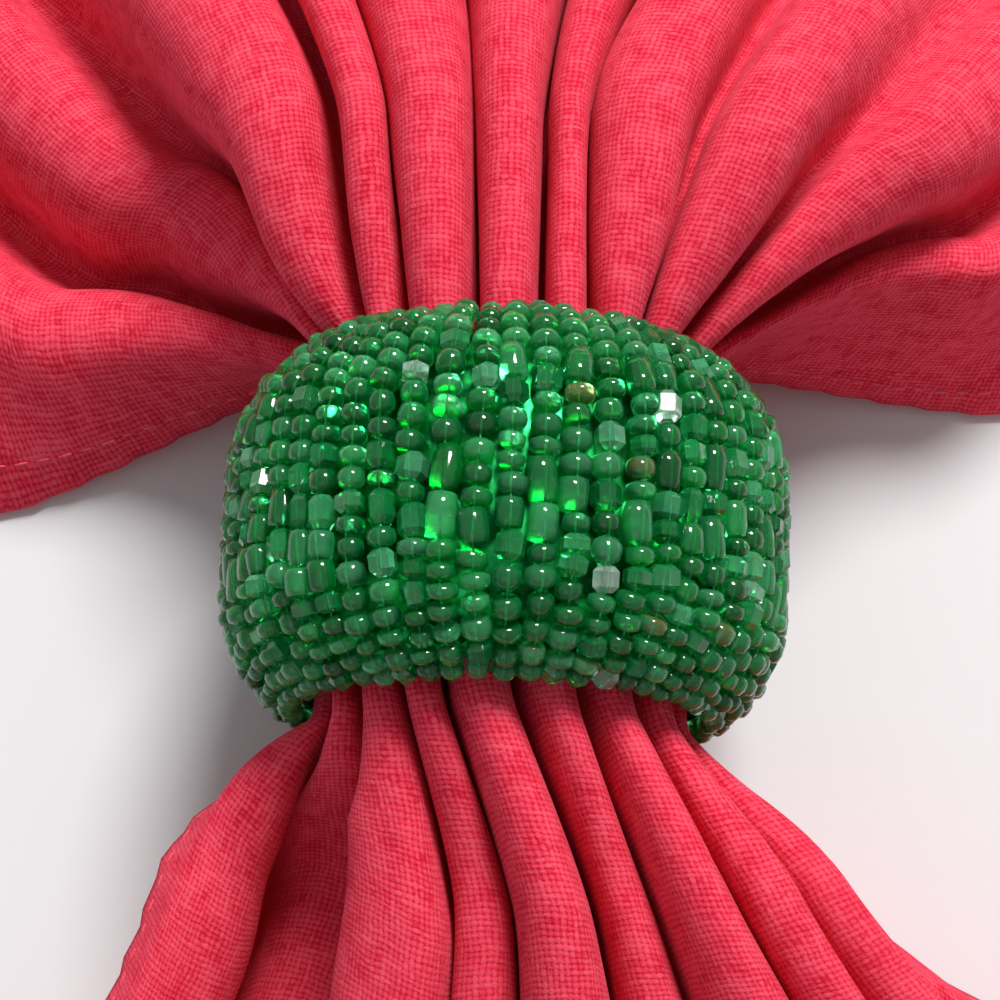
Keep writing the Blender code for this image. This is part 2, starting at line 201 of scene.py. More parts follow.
FRONT = [Way(*row) for row in (
    ("left edge", -122, -74, -31.6, 33.2, 22.0,  -10,   0, 0.0),
    ("L",          -78, -56, -25.6, 33.0, 27.0,  -12, -14, 3.0),
    ("K",          -57,  -8, -15.0, 33.0, 17.0,  -14,  20, 2.4),
    ("A",          -41,  12,  -8.2, 34.9, 38.5,    7,   8, 5.2),
    ("B",          -24,  18,  -1.3, 34.5, 37.5,   15,   0, 3.8),
    ("C",           -5,  21,   4.9, 34.7, 43.0,   18,   0, 4.6),
    ("D",           17,  20,  11.2, 34.3, 39.0,   20,   0, 3.2),
    ("E",           38,  26,  17.9, 34.1, 42.0,   24,   0, 4.2),
    ("F",           59,  27,  24.0, 33.7, 39.0,   27, -14, 3.4),
    ("G",           79,  38,  30.4, 33.0, 36.0,   33, -24, 2.4),
    ("H",           98,  42,  31.6, 31.6, 26.0,   35, -40, 2.4),
    ("R",          122,  48,  32.2, 30.4, 16.0,   37,   0, 1.8),
    ("right edge", 200,  50,  33.0, 28.6,  0.5,   39,   0, 0.0),
)]
WAYS = {1: BACK, -1: FRONT}
CRESTS = range(1, len(BORE)-1)
LAST = len(BORE)-1
OUTERMOST = (CRESTS[0], CRESTS[-1])

# ---------------- curves
def mix(a, b, t):
    return a+(b-a)*t


def ease(start, end, x):
    """0 before start, 1 after end, smooth between."""
    t = min(1.0, max(0.0, (x-start)/(end-start)))
    return t*t*(3-2*t)


def unit(v):
    return v/max(1e-9, np.linalg.norm(v))


def hermite(p, leave, q, arrive, t):
    """Points at t on the cubic from p to q with the given end tangents."""
    t = np.asarray(t, float).reshape(-1, 1)
    return ((2*t**3-3*t**2+1)*p+(t**3-2*t**2+t)*leave
            + (3*t**2-2*t**3)*q+(t**3-t**2)*arrive)


def lengths(points):
    return np.linalg.norm(np.diff(points, axis=0), axis=1)


def distances(points):
    """How far along a curve each of its points is."""
    return np.concatenate([[0], np.cumsum(lengths(points))])


def point_at(place, places, points):
    """The point at a place on a curve whose points have these places."""
    return np.array([np.interp(place, places, points[:, c]) for c in range(points.shape[1])])


def heading_vector(degrees, side, z=0.0):
    a = math.radians(degrees)
    return np.array([math.sin(a), side*math.cos(a), z])


# ---------------- the lines along the cloth
ACROSS = np.cumsum([0]+[row.cloth for row in BORE[:-1]])  # each line's place across the flat cloth
HEAD_STEPS = (6, 21)       # points of a line in the ring, and from the rim to its point outside
HEAD_PULL = 0.9            # strength of that curve, by the distance it spans
CLIMB = 0.2                # slope at the rim of a line that rises
HIGH = 25                  # a line's point above this height slopes down more than a low one
FALL_HIGH, FALL_LOW = -0.10, -0.02
TAIL_STEPS = 41            # points of a line from there to the hem
TAIL_PULLS = (45, 120)     # strength of that curve at its two ends
HEM_LIFT = 1.0             # height of its far end
HEM_REACH = (60.0, 230.0)  # the hem's distance from the ring's middle is looked for between these
HEM_SEARCHES = 30


def bore_point(line, angle, y):
    radius = TIP_R-(SIDE_TUCK if line in OUTERMOST else 0)
    a = math.radians(angle)
    return np.array([radius*math.sin(a), y, RING_R+radius*math.cos(a)])


def line_path(line, side):
    """A line from the ring's middle out to the hem, with the cloth's length at each point."""
    way = WAYS[side][line]
    straight = np.array([bore_point(line, mix(BORE[line].angle, way.rim, q), side*MOUTH*q)
                         for q in np.linspace(0, 1, HEAD_STEPS[0])])
    rim = straight[-1]
    point = np.array([way.x, side*way.out, way.z])
    reach = HEAD_PULL*np.linalg.norm(point-rim)
    rise = CLIMB if way.z > rim[2] else 0.0
    fall = FALL_HIGH if way.z > HIGH else FALL_LOW
    there = heading_vector(way.heading, side, fall)
    head = hermite(rim, unit(heading_vector(way.leave, side, rise))*reach,
                   point, there*reach, np.linspace(0, 1, HEAD_STEPS[1]))
    head = np.vstack([straight, head[1:]])
    angle = (ACROSS[line]-ACROSS[MIDDLE])*FAN[side]/FAN_R+math.radians(FAN_TURN[side])
    ray = np.array([math.sin(angle), side*math.cos(angle), 0.0])
    total = HALF+HEM_SLACK.get((side, line), 0.0)
    low, high = HEM_REACH
    for _ in range(HEM_SEARCHES):
        end = ray*(low+high)/2+np.array([0, 0, HEM_LIFT])
        tail = hermite(point, there*TAIL_PULLS[0], end, ray*TAIL_PULLS[1], np.linspace(0, 1, TAIL_STEPS))
        if lengths(head).sum()+lengths(tail).sum() > total:
            high = (low+high)/2
        else:
            low = (low+high)/2
    path = np.vstack([head, tail[1:]])
    return path, distances(path)*HALF/total


PATHS = {(side, line): line_path(line, side) for side in (1, -1) for line in range(len(BORE))}


def line_at(line, s):
    """The line's point s mm of cloth from the ring's middle, + towards the back."""
    path, run = PATHS[1 if s >= 0 else -1, line]
    return point_at(abs(s), run, path)


# Where along the cloth one rule gives way to the next, mm from the ring's middle.
GRIP_FADE = (14, 34)   # the bore lets go of the folds
TABLE_FADE = (10, 40)  # from the bore's table to the outside one
LEAN_FADE = (60, 110)  # the pleats come upright
FAN_FADE = (55, 115)   # the fan sets the crests' heights


def side_of(s):
    return WAYS[1 if s >= 0 else -1]


def angle_at(line, s):
    return mix(BORE[line].angle, side_of(s)[line].rim, min(1, abs(s)/MOUTH))


def lobe_at(line, s):
    return mix(BORE[line].lobe, side_of(s)[line].lobe, ease(*TABLE_FADE, abs(s)))


def lean_at(line, s):
    """The pleat turns with its two crests inside the ring, and its lean fades out in the fan."""
    turn = 0.5*(angle_at(line, s)-BORE[line].angle+angle_at(line+1, s)-BORE[line+1].angle)
    outside = side_of(s)[line].lean*(1-ease(*LEAN_FADE, abs(s)))
    return mix(BORE[line].lean-turn, outside, ease(*TABLE_FADE, abs(s)))


# ---------------- a section across the cloth
LEAST_WIDTH = 0.3  # narrower pleats count as this wide
# Depth by width at which a pleat starts to be slim, and how much more makes it fully slim.
SLIM_FROM, SLIM_OVER = 0.6, 2.6
ROUND_PULL = 1.3           # strength of a round pleat's curve, by its width
CREST_R, VALLEY_R = 0.62, 0.66  # least radius over a crest, and in a slim pleat's valley
LEAST_DOUBLE = (3.0, 4.0)  # least double depth of a pleat in the fan, and for finding the crests' directions
CREST_SINK = 0.3           # outside the ring, the way into a crest is turned this far towards straight down
SIDE_SHARE = 0.75          # the outermost crests follow the bore only so far
EDGE_LIFT = (0.9, 0.1)     # upward bulge of the strip beside the left edge, and beside the right
RIGHT_TURN = 5.0           # strength of the curve round crest R where it isn't held,
RIGHT_FREE = 30            # which is from here on
DEPTHS = (0.3, 45.0)       # a pleat's depth is looked for between these
DEPTH_SEARCHES = 22
DEPTH_STEPS = 15           # points of each half that its length is taken from


def half_pleat(crest, crest_way, valley, valley_way, width, swell, steps):
    """Crest to valley. A deep narrow pleat bulges at both ends, by swell, and is slim between."""
    depth = np.linalg.norm(valley-crest)
    slim = min(1.0, max(0.0, (depth/max(width, LEAST_WIDTH)-SLIM_FROM)/SLIM_OVER))
    leave = max(width*(ROUND_PULL+swell*slim), math.sqrt(6*depth*CREST_R))
    arrive = mix(ROUND_PULL*width, math.sqrt(6*depth*VALLEY_R), slim)
    return hermite(crest, crest_way*leave, valley, valley_way*arrive, steps)


def fan_heights(lines, far):
    """Far from the ring, each crest is as high as the cloth between its neighbours makes it."""
    rise = []
    for k in CRESTS[:-1]:
        apart = np.linalg.norm(lines[k+1][:2]-lines[k][:2])
        rise.append(PLEAT_RISE*0.5*math.sqrt(max(LEAST_DOUBLE[0]**2, BORE[k].cloth**2-apart**2)))
    for k in CRESTS:
        near = rise[max(0, k-2):k]
        lines[k][2] = mix(lines[k][2], SHEET/2+sum(near)/len(near), far)
    for k in (0, LAST):
        lines[k][2] = mix(lines[k][2], SHEET/2, far)


def pleat_frame(k, s, lines):
    """Share of the pleat on its left, its downward direction, and its width across that."""
    left, right = lobe_at(k, s), lobe_at(k+1, s)
    lean = math.radians(lean_at(k, s))
    ahead, behind = min(HALF, s+1), max(-HALF, s-1)
    run = line_at(k, ahead)-line_at(k, behind)+line_at(k+1, ahead)-line_at(k+1, behind)
    across = unit(np.array([run[1], -run[0], 0.0]))
    down = across*math.sin(lean)-np.array([0, 0, math.cos(lean)])
    chord = lines[k+1]-lines[k]
    flat = chord-down*np.dot(chord, down)
    return left/(left+right), down, unit(flat), np.linalg.norm(flat)


def crest_way(k, s, lines, left, right, inside):
    """Direction of the cloth over a crest: square to its two flanks, and along the bore inside the ring."""
    a = math.radians(angle_at(k, s))
    bore = np.array([math.cos(a), 0, -math.sin(a)])
    inward = unit(unit(left-lines[k])+unit(right-lines[k])+np.array([0, 0, -CREST_SINK*(1-inside)]))
    over = unit(right-left)
    if k in OUTERMOST:
        over = mix(over, bore, inside)
    else:
        over = over+unit(lines[k+1]-lines[k-1])
    over = unit(over-inward*np.dot(over, inward))
    share = SIDE_SHARE if k in OUTERMOST else 1.0
    return unit(mix(over, bore, inside*share))


def edge_way(k, s, lines, bulge, inside):
    """Direction of a free edge's strip, away from the edge."""
    a = math.radians(angle_at(k, s))
    inner = 1 if k == 0 else LAST-1
    bore = np.array([math.cos(a), 0, -math.sin(a)])*(1 if k == 0 else -1)
    open_way = unit(unit(lines[inner]-lines[k])+np.array([0, 0, bulge]))
    return unit(mix(open_way, bore, inside))


def section(s, steps):
    """The cloth from its left edge to its right one, at s mm from the ring's middle."""
    inside = 1-ease(*GRIP_FADE, abs(s))
    far = ease(*FAN_FADE, abs(s))
    floor = SHEET/2
    lines = [line_at(k, s) for k in range(len(BORE))]
    if far > 0:
        fan_heights(lines, far)
    for point in lines:
        point[2] = max(point[2], floor)
    pleats = {k: pleat_frame(k, s, lines) for k in CRESTS[:-1]}
    full = 1-ease(*SWELL_FADE, abs(s))
    swells = {k: mix(SWELL_LEAST, SWELL_MOST, 0 if k == LOOSE_PLEAT and s < 0 else full) for k in pleats}

    def valley(k, depth):
        share, down = pleats[k][:2]
        return mix(lines[k], lines[k+1], share)+down*depth

    ends = [lines[0]]
    for k in CRESTS[:-1]:
        apart = np.linalg.norm(lines[k+1]-lines[k])
        ends.append(valley(k, 0.5*math.sqrt(max(LEAST_DOUBLE[1]**2, BORE[k].cloth**2-apart**2))))
    ends.append(lines[LAST])
    over = {k: crest_way(k, s, lines, ends[k-1], ends[k], inside) for k in CRESTS}

    def pleat(k, depth, at, floored=False):
        share, _, way, width = pleats[k]
        bottom = valley(k, depth)
        if floored:
            bottom[2] = max(bottom[2], floor-PRESS*far)
        left = half_pleat(lines[k], over[k], bottom, way, share*width, swells[k], at)
        right = half_pleat(lines[k+1], -over[k+1], bottom, -way, (1-share)*width, swells[k], at)
        return left, right

    points = []
    start = edge_way(0, s, lines, EDGE_LIFT[0]*(1-inside)*(1-far), inside)
    wide = BORE[0].cloth
    points += list(hermite(lines[0], start*wide, lines[1], over[1]*wide, EDGE_STEPS)[:-1])
    for k in CRESTS[:-1]:
        low, high = DEPTHS
        for _ in range(DEPTH_SEARCHES):      # the depth at which the pleat takes up its cloth
            left, right = pleat(k, (low+high)/2, np.linspace(0, 1, DEPTH_STEPS))
            if lengths(left).sum()+lengths(right).sum() < BORE[k].cloth:
                low = (low+high)/2
            else:
                high = (low+high)/2
        left, right = pleat(k, (low+high)/2, steps, floored=True)
        points += list(left[:-1])+list(right[::-1][:-1])
    k = CRESTS[-1]
    wide = BORE[k].cloth
    start = edge_way(LAST, s, lines, EDGE_LIFT[1]*(1-inside)*(1-far), inside)
    turn = RIGHT_TURN if abs(s) > RIGHT_FREE else mix(RIGHT_TURN, wide, inside)
    points += list(hermite(lines[LAST], start*wide, lines[k], -over[k]*turn, EDGE_STEPS)[::-1])
    points = np.array(points)
    points[:, 2] = np.maximum(points[:, 2], floor)
    return points


# ---------------- colours and nodes
def linear(code):
    """An sRGB hex colour as linear RGBA."""
    parts = [int(code[i:i+2], 16)/255 for i in (1, 3, 5)]
    return tuple(c/12.92 if c <= 0.04045 else ((c+0.055)/1.055)**2.4 for c in parts)+(1.0,)


MATH, NOISE, RAMP = "ShaderNodeMath", "ShaderNodeTexNoise", "ShaderNodeValToRGB"


def new_material(name, **inputs):
    """A material, its tree, and its Principled shader with these values on its sockets."""
    mat = bpy.data.materials.new(name)
    mat.use_nodes = True
    shader = mat.node_tree.nodes["Principled BSDF"]
    for key, value in inputs.items():
        shader.inputs[key.replace("_", " ")].default_value = value
    return mat, mat.node_tree, shader


def add(tree, kind, settings=(), *values, **inputs):
    """A node with its settings, and its inputs in order, by name or as _number; an input is a value or
    another node's socket. A word as settings is the operation, and stops are a ramp's places and
    colours. Returns the node's first output."""
    node = tree.nodes.new(kind)
    settings = {"operation": settings} if isinstance(settings, str) else dict(settings)
    stops = settings.pop("stops", ())
    for key, value in settings.items():
        setattr(node, key, value)
    for key, value in ({f"_{i}": value for i, value in enumerate(values)} | inputs).items():
        place = int(key[1:]) if key[1:].isdigit() else key.replace("_", " ")
        if isinstance(value, bpy.types.NodeSocket):
            tree.links.new(value, node.inputs[place])
        else:
            node.inputs[place].default_value = value
    for _ in stops[2:]:
        node.color_ramp.elements.new(0.5)
    for element, (place, colour) in zip(node.color_ramp.elements if stops else (), stops):
        element.position = place
        element.color = linear(colour)
    return node.outputs[0]


# ---------------- materials
WANDER = (0.3, 0.55)       # the threads' wandering: noise waves in a mm, and mm to the side
YARN_ROUND = 0.65          # power on the sine that a thread's height follows across it; below 1 it is fuller
YARN_WAVE = 0.42           # rise and fall of a thread over and under the others
YARN_UNEVEN = (0.4, 1.2)   # a thread's thickness: least, and the noise on it
YARN_LANE, YARN_RUN = 7.31, 0.16  # that noise from thread to thread, and along one
PILLOW_BLEND = 0.25        # softness of the step where two threads cross
FIBRE = (2.9, 1.15, 0.2)   # noise of the nap: waves in a thread, height, and what is taken off for it
FELTED = (0.42, 0.9, 0.8)  # the same of matted patches, waves in a mm
WORN = (0.03, 0.3)         # faded patches: waves in a mm, and strength
PITS_TO_TOPS = 0.6         # brings the whole height to the 0 to 1 of the ramp that paints shade in the pits and a highlight on the tops
LIGHT_THROUGH = 0.3        # share of the light that passes through the cloth
# Waves in a mm of the sewing thread's twist, the striae in the glass, the wax and the pooled lacquer.
TWIST, STRIAE, WAX, POOLED = 2.5, 0.9, 1.5, 0.33
# Cloth colour by height: the dark stops are painted shade in the pits between threads, the light pink ones a
# painted highlight on the thread tops.
WEAVE_PAINTED_SHADE_STOPS = ((0.1, "#B00A28"), (0.36, "#D21E3C"), (0.62, "#EE4560"), (0.95, "#FA6278"))
# Tints of the beads from the darkest on; the last few are olive, or almost clear.
SEED_SHADES = ((0.0, "#129A4A"), (0.45, "#26CC72"), (0.975, "#66EEA6"), (1.0, "#A9BC6A"))
CUT_SHADES = ((0.0, "#18A052"), (0.6, "#34D47E"), (0.9, "#74EEB0"), (1.0, "#DCF5EA"))
STRIAE_TINT, STRIAE_ROUGH = 0.12, 0.08  # how far the striae change a bead's tint and roughness
LACQUER_ROUGH = (0.2, 0.22)             # roughness gained where the lacquer pooled, and least


def plain_weave_cotton():
    """Piece-dyed red cotton in a coarse plain weave, brushed by washing. Warp and weft pass over each
    other in turn, so each crossing is a small pillow with a pit at its corners; the yarn is uneven and
    wanders. The colour follows the height: deep red painted shade in the pits, a pink painted highlight on
    the tops."""
    mat, tree, shader = new_material(
        "red_plain_weave_cotton", Roughness=0.95, IOR=1.5, Specular_IOR_Level=0.1, Sheen_Weight=0.22,
        Sheen_Roughness=0.5, Sheen_Tint=linear("#FF86A0"))
    plane = {"noise_dimensions": "2D"}
    flat = add(tree, "ShaderNodeUVMap", {"uv_map": "cloth_mm"})
    wander = add(tree, NOISE, plane, Vector=flat, Scale=WANDER[0], Detail=1.0).node.outputs["Color"]
    drift = add(tree, "ShaderNodeVectorMath", "MULTIPLY_ADD", wander, (WANDER[1], WANDER[1], 0), flat)
    threads = add(tree, "ShaderNodeVectorMath", "SCALE", drift, Scale=1/THREAD_PITCH)
    uv = add(tree, "ShaderNodeSeparateXYZ", {}, threads).node.outputs
    column, row = (add(tree, MATH, "FLOOR", uv[i]) for i in (0, 1))

    def yarn(across, along, lane, sign):
        """Height of one set of threads: round across, rising over and dipping under along, each lane
        its own thickness."""
        round_top = add(tree, MATH, "POWER", add(tree, MATH, "SINE", add(
            tree, MATH, "MULTIPLY", add(tree, MATH, "FRACT", across), math.pi)), YARN_ROUND)
        wave = add(tree, MATH, "COSINE", add(tree, MATH, "MULTIPLY", add(
            tree, MATH, "ADD", add(tree, MATH, "SUBTRACT", along, 0.5), lane), math.pi))
        place = add(tree, MATH, "MULTIPLY_ADD", lane, YARN_LANE, add(tree, MATH, "MULTIPLY", along, YARN_RUN))
        spun = add(tree, NOISE, {"noise_dimensions": "1D"}, W=place, Scale=1.0, Detail=0.0)
        thick = add(tree, MATH, "MULTIPLY_ADD", spun, YARN_UNEVEN[1], YARN_UNEVEN[0])
        body = add(tree, MATH, "MULTIPLY", round_top, thick)
        return add(tree, MATH, "MULTIPLY_ADD", wave, YARN_WAVE*sign, body)

    warp = yarn(uv[0], uv[1], column, 1)
    weft = yarn(uv[1], uv[0], row, -1)
    pillow = add(tree, MATH, "SMOOTH_MAX", warp, weft, PILLOW_BLEND)
    fibre = add(tree, NOISE, plane, Vector=threads, Scale=FIBRE[0], Detail=2.0)
    felted = add(tree, NOISE, plane, Vector=flat, Scale=FELTED[0], Detail=2.0)
    napped = add(tree, MATH, "MULTIPLY_ADD", fibre, FIBRE[1], add(tree, MATH, "SUBTRACT", pillow, FIBRE[2]))
    height = add(tree, MATH, "ADD", napped, add(tree, MATH, "MULTIPLY_ADD", felted, FELTED[1], -FELTED[2]))
    # Colour by height: the dye's red, with painted shade in the pits and a painted pink highlight on the
    # thread tops.
    dyed = add(tree, RAMP, {"stops": WEAVE_PAINTED_SHADE_STOPS}, add(tree, MATH, "MULTIPLY", height, PITS_TO_TOPS))
    worn = add(tree, NOISE, plane, Vector=flat, Scale=WORN[0], Detail=1.0)
    share = add(tree, MATH, "MULTIPLY", worn, WORN[1])
    faded = add(tree, "ShaderNodeMix", {"data_type": "RGBA"}, share, _6=dyed, _7=linear("#EC3C58"))
    tree.links.new(faded.node.outputs[2], shader.inputs["Base Color"])
    bump = add(tree, "ShaderNodeBump", {}, Strength=0.5, Distance=0.1*MM, Height=height)
    tree.links.new(bump, shader.inputs["Normal"])
    through = add(tree, "ShaderNodeBsdfTranslucent", {}, Color=linear("#FF2A2C"))
    both = add(tree, "ShaderNodeMixShader", {}, LIGHT_THROUGH, shader.outputs[0], through)
    tree.links.new(both, tree.nodes["Material Output"].inputs["Surface"])
    return mat


def sewing_cotton():
    """Mercerised sewing thread dyed to the cloth: the same red, a little shinier, with a fine twist."""
    mat, tree, shader = new_material("red_sewing_cotton", Roughness=0.55, Sheen_Weight=0.3)
    place = add(tree, "ShaderNodeTexCoord").node.outputs["Object"]
    twist = add(tree, NOISE, {}, Vector=place, Scale=TWIST/MM, Detail=2.0)
    dyed = add(tree, RAMP, {"stops": ((0.3, "#C8142E"), (0.7, "#F04A63"))}, twist)
    tree.links.new(dyed, shader.inputs["Base Color"])
    bump = add(tree, "ShaderNodeBump", {}, Strength=0.5, Distance=0.05*MM, Height=twist)
    tree.links.new(bump, shader.inputs["Normal"])
    return mat


def bead_glass(name, shades, roughness, transmission):
    """Drawn soda glass coloured green in the mass, fire-polished: clear, wet-looking, each bead a little
    lighter, darker or more olive than the next, with faint striae along the cane."""
    mat, tree, shader = new_material(name, IOR=1.52, Transmission_Weight=transmission)
    tint = add(tree, "ShaderNodeAttribute", {"attribute_name": "tint"}).node.outputs["Fac"]
    place = add(tree, "ShaderNodeTexCoord").node.outputs["Object"]
    striae = add(tree, NOISE, {}, Vector=place, Scale=STRIAE/MM, Detail=1.0)
    level = add(tree, MATH, "SUBTRACT", tint, STRIAE_TINT/2)
    shade = add(tree, MATH, "MULTIPLY_ADD", striae, STRIAE_TINT, level)
    tree.links.new(add(tree, RAMP, {"stops": shades}, shade), shader.inputs["Base Color"])
    polish = add(tree, MATH, "MULTIPLY_ADD", striae, STRIAE_ROUGH, roughness)
    tree.links.new(polish, shader.inputs["Roughness"])
    bump = add(tree, "ShaderNodeBump", {}, Strength=0.15, Distance=0.05*MM, Height=striae)
    tree.links.new(bump, shader.inputs["Normal"])
    return mat


def lacquered_brass():
    """Thin brass hoop under transparent green lacquer: a bright metal that throws green light back
    through the beads, a little mottled where the lacquer pooled."""
    mat, tree, shader = new_material("green_lacquered_brass", Metallic=1.0)
    place = add(tree, "ShaderNodeTexCoord").node.outputs["Object"]
    pooled = add(tree, NOISE, {}, Vector=place, Scale=POOLED/MM, Detail=2.0)
    lacquer = add(tree, RAMP, {"stops": ((0.44, "#0A5226"), (0.64, "#2FD870"))}, pooled)
    tree.links.new(lacquer, shader.inputs["Base Color"])
    gloss = add(tree, MATH, "MULTIPLY_ADD", pooled, *LACQUER_ROUGH)
    tree.links.new(gloss, shader.inputs["Roughness"])
    return mat


def stringing_thread():
    """Waxed nylon beading thread, the beads' own green, so it is lost inside them."""
    mat, tree, shader = new_material("green_nylon_thread", Roughness=0.5)
    place = add(tree, "ShaderNodeTexCoord").node.outputs["Object"]
    wax = add(tree, NOISE, {}, Vector=place, Scale=WAX/MM, Detail=1.0)
    dyed = add(tree, RAMP, {"stops": ((0.3, "#1E7A44"), (0.7, "#36A863"))}, wax)
    tree.links.new(dyed, shader.inputs["Base Color"])
    return mat


# ---------------- meshes
def place_mesh(name, verts, faces, mat):
    """A mesh object from points in mm from the ring's middle on the table."""
    mesh = bpy.data.meshes.new(name)
    mesh.from_pydata([tuple(ORIGIN+Vector(p)*MM) for p in verts], [], faces)
    mesh.update()
    mesh.materials.append(mat)
    mesh.shade_smooth()
    return show(name, mesh)


def settle(ob, name):
    """The object with its modifiers worked into a plain mesh."""
    graph = bpy.context.evaluated_depsgraph_get()
    mesh = bpy.data.meshes.new_from_object(ob.evaluated_get(graph))
    done = show(name, mesh)
    bpy.data.objects.remove(ob, do_unlink=True)
    mesh.name = name
    return done


# ---------------- geometry node trees
POLE = 0.01  # nearer than this to the axis of a ball of radius 1 is its pole


def node_group(name, inputs):
    """A geometry tree with named inputs (name, socket type, default). Returns the tree and its two ends."""
    tree = bpy.data.node_groups.new(name, "GeometryNodeTree")
    tree.interface.new_socket(name="Geometry", in_out="INPUT", socket_type="NodeSocketGeometry")
    for label, kind, value in inputs:
        item = tree.interface.new_socket(name=label, in_out="INPUT", socket_type=kind)
        if value is not None:
            item.default_value = value
    tree.interface.new_socket(name="Geometry", in_out="OUTPUT", socket_type="NodeSocketGeometry")
    start = tree.nodes.new("NodeGroupInput")
    end = tree.nodes.new("NodeGroupOutput")
    return tree, start, end


def run_tree(ob, tree, name, **values):
    """Puts the tree on the object with these inputs, by their sockets' identifiers, and settles it."""
    modifier = ob.modifiers.new(tree.name, "NODES")
    modifier.node_group = tree
    for item in tree.interface.items_tree:
        if item.in_out == "INPUT" and item.name in values:
            modifier[item.identifier] = values[item.name]
    return settle(ob, name)


def finish_tree(tree, start, end, geometry):
    made = add(tree, "GeometryNodeRealizeInstances", {}, Geometry=geometry)
    made = add(tree, "GeometryNodeSetMaterial", {}, Geometry=made, Material=start.outputs["Material"])
    tree.links.new(made, end.inputs[0])
    return tree


def bead_tree():
    """Strings beads on points. A bead is a sphere squared off towards a cylinder, its two poles drawn in
    where the thread goes through; each point carries its turn, stretch and tint."""
    tree, start, end = node_group("strung_beads", (
        ("Sides", "NodeSocketInt", 12), ("Rings", "NodeSocketInt", 6), ("Squareness", "NodeSocketFloat", 2.8),
        ("Hole", "NodeSocketFloat", 0.3), ("Smooth", "NodeSocketBool", True),
        ("Material", "NodeSocketMaterial", None)))
    given = start.outputs
    ball = add(tree, "GeometryNodeMeshUVSphere", {}, Segments=given["Sides"], Rings=given["Rings"],
               Radius=1.0)
    at = add(tree, "GeometryNodeInputPosition")
    xyz = add(tree, "ShaderNodeSeparateXYZ", {}, at).node.outputs
    out = add(tree, MATH, "SQRT", add(tree, MATH, "ADD", add(tree, MATH, "POWER", xyz[0], 2.0),
                                      add(tree, MATH, "POWER", xyz[1], 2.0)))
    up = add(tree, MATH, "ABSOLUTE", xyz[2])
    power = given["Squareness"]
    total = add(tree, MATH, "ADD", add(tree, MATH, "POWER", out, power), add(tree, MATH, "POWER", up, power))
    spread = add(tree, MATH, "POWER", total, add(tree, MATH, "DIVIDE", -1.0, power))
    squared = add(tree, "ShaderNodeVectorMath", "SCALE", at, Scale=spread)
    pole = add(tree, MATH, "LESS_THAN", out, POLE)
    drawn_in = add(tree, MATH, "SUBTRACT", 1.0, add(tree, MATH, "MULTIPLY", pole, given["Hole"]))
    dimple = add(tree, "ShaderNodeCombineXYZ", {}, X=1.0, Y=1.0, Z=drawn_in)
    formed = add(tree, "ShaderNodeVectorMath", "MULTIPLY", squared, dimple)
    bead = add(tree, "GeometryNodeSetPosition", {}, Geometry=ball, Position=formed)
    bead = add(tree, "GeometryNodeSetShadeSmooth", {}, Geometry=bead, Shade_Smooth=given["Smooth"])

    carried = "GeometryNodeInputNamedAttribute", {"data_type": "FLOAT_VECTOR"}
    turn = add(tree, "FunctionNodeEulerToRotation", {}, Euler=add(tree, *carried, Name="turn"))
    strung = add(tree, "GeometryNodeInstanceOnPoints", {}, Points=given["Geometry"], Instance=bead,
                 Rotation=turn, Scale=add(tree, *carried, Name="stretch"))
    return finish_tree(tree, start, end, strung)


def thread_tree():
    """Gives a line the thickness of a thread."""
    tree, start, end = node_group("thread", (
        ("Diameter", "NodeSocketFloat", 0.0003), ("Sides", "NodeSocketInt", 5),
        ("Material", "NodeSocketMaterial", None)))
    given = start.outputs
    line = add(tree, "GeometryNodeMeshToCurve", {}, Mesh=given["Geometry"])
    ring = add(tree, "GeometryNodeCurvePrimitiveCircle", {}, Resolution=given["Sides"],
               Radius=add(tree, MATH, "MULTIPLY", given["Diameter"], 0.5))
    tube = add(tree, "GeometryNodeCurveToMesh", {}, Curve=line, Profile_Curve=ring, Fill_Caps=True)
    tube = add(tree, "GeometryNodeSetShadeSmooth", {}, Geometry=tube)
    return finish_tree(tree, start, end, tube)


PLAIN_TINT = 0.5  # for points whose material has no use for it
CARRIED = (("turn", "FLOAT_VECTOR", 1), ("stretch", "FLOAT_VECTOR", 2), ("tint", "FLOAT", 3))


def points_mesh(name, rows):
    """A mesh of loose points carrying turn, stretch and tint; a row is (point, turn, stretch, tint)."""
    mesh = bpy.data.meshes.new(name)
    mesh.from_pydata([tuple(ORIGIN+Vector(row[0])*MM) for row in rows], [], [])
    for label, kind, place in CARRIED:
        layer = mesh.attributes.new(label, kind, "POINT")
        if kind == "FLOAT":
            layer.data.foreach_set("value", [row[place] for row in rows])
        else:
            layer.data.foreach_set("vector", [c for row in rows for c in row[place]])
    return show(name, mesh)


def aimed(along, outward):
    """Euler turn that lays local z along one direction and local x outward."""
    z = Vector(along).normalized()
    x = (Vector(outward)-z*Vector(outward).dot(z)).normalized()
    return Matrix((x, z.cross(x), z)).transposed().to_euler()


# ---------------- napkin
STEPS = (0, 0.05, 0.11, 0.18, 0.27, 0.38, 0.5, 0.62, 0.75, 0.88, 1)  # along half a pleat
EDGE_STEPS = tuple(i/10 for i in range(11))  # and along an edge strip
# Sections are taken from, to and every so many mm of cloth, closest near the ring, and then through the hem.
ROW_SPANS = ((0, 70, 1.6), (70, 110, 2.6), (110, 194, 4.4))
HEM_ROWS = (194.6, 195.4, 196.6, 197.8, 198.9, 200.0)
HEM_STEP = 1.0  # the cloth thickens to its hem over this width
Dent = namedtuple("Dent", "across along plane high")
DENTS = (Dent(13, 34, 1.7, 0.55), Dent(5.5, 15, 9.2, 0.16))  # sizes in mm of the soft unevenness
DENT_HELD = 0.25       # share of it left in the ring
DENT_FADE = (22, 60)   # mm along the cloth over which it comes back
HEM_PULL = 0.2         # how far the stitches draw up the hem
HEM_FADE = (1.5, 5.5)  # mm from the edge over which that ends
PULL_FADE = (14, 22)   # mm along the cloth over which it starts


